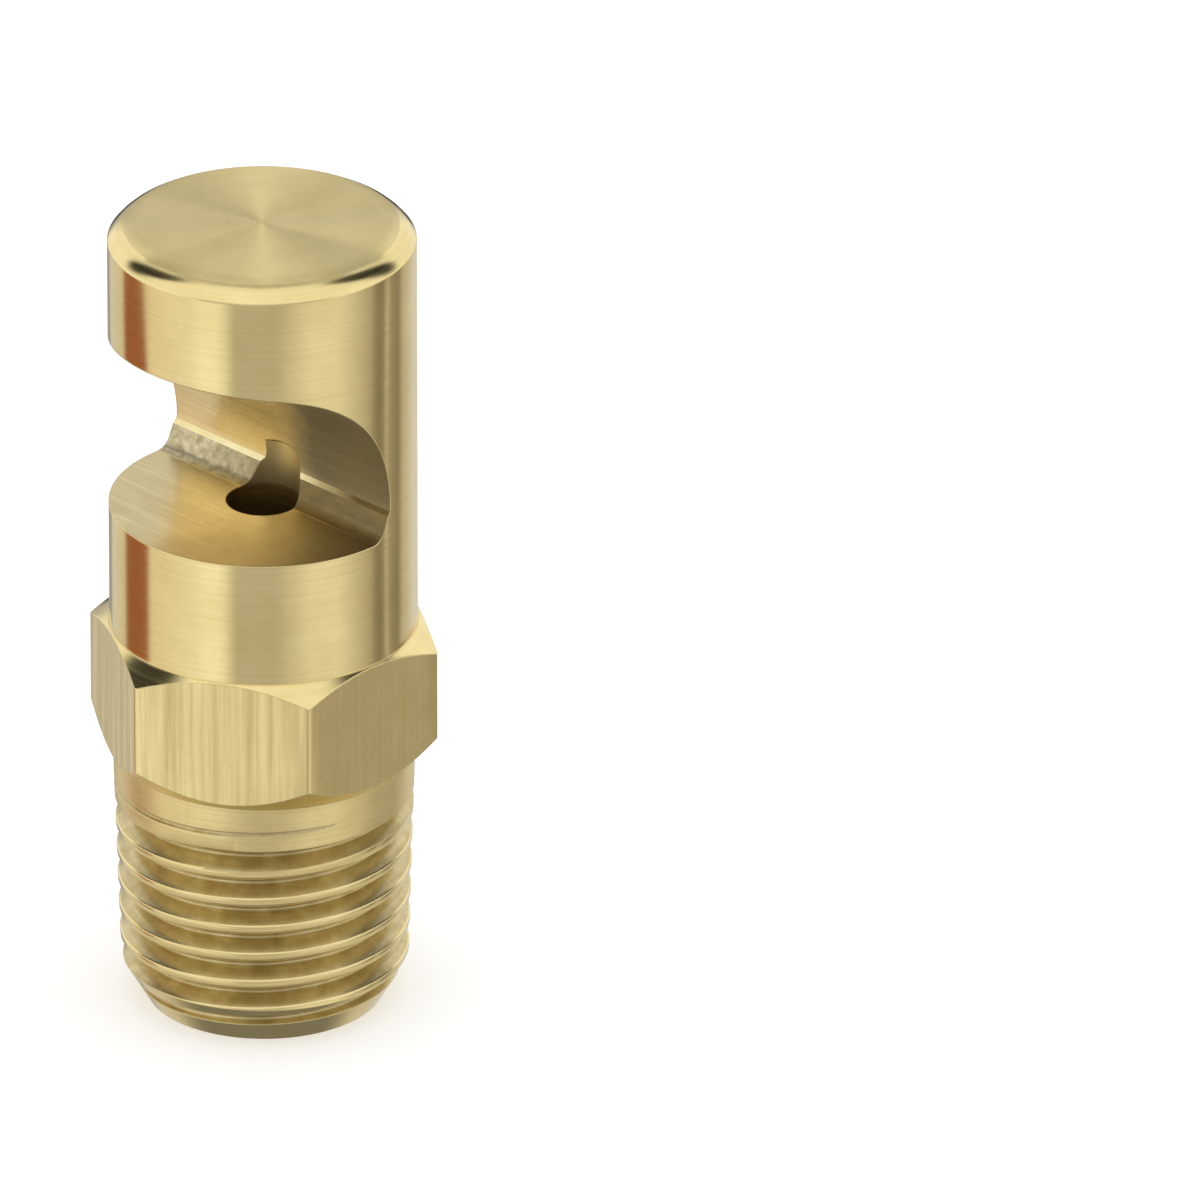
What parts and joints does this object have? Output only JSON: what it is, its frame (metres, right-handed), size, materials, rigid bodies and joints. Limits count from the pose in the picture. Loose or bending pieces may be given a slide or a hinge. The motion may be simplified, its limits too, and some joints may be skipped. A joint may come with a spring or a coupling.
{
  "type": "deflector spray nozzle",
  "caption": "Brass flat-spray nozzle: tapered pipe-thread shank, hex and round head with a side slot and curved deflector. The metering disc, lock screw and strainer inside are inferred, not seen.",
  "frame": {"origin": "centre of the inlet end face, on the nozzle's axis", "axes": "+Z along the axis from the inlet to the head, -Y the way the spray leaves, X along the milled slot and across two hex flats"},
  "size_m": [0.0142, 0.0166, 0.0388],
  "materials": {
    "body_brass": "machined, bright",
    "insert_brass": "turned",
    "stainless": "turned and lapped",
    "soft_copper": "annealed copper, dull"
  },
  "bodies": {
    "root": {"nozzle_body": "body_brass", "disc_washer": "soft_copper", "orifice_disc": "stainless", "lock_screw": "insert_brass", "strainer_collar": "insert_brass", "strainer_screen": "stainless", "strainer_cap": "insert_brass"}
  },
  "joints": []
}
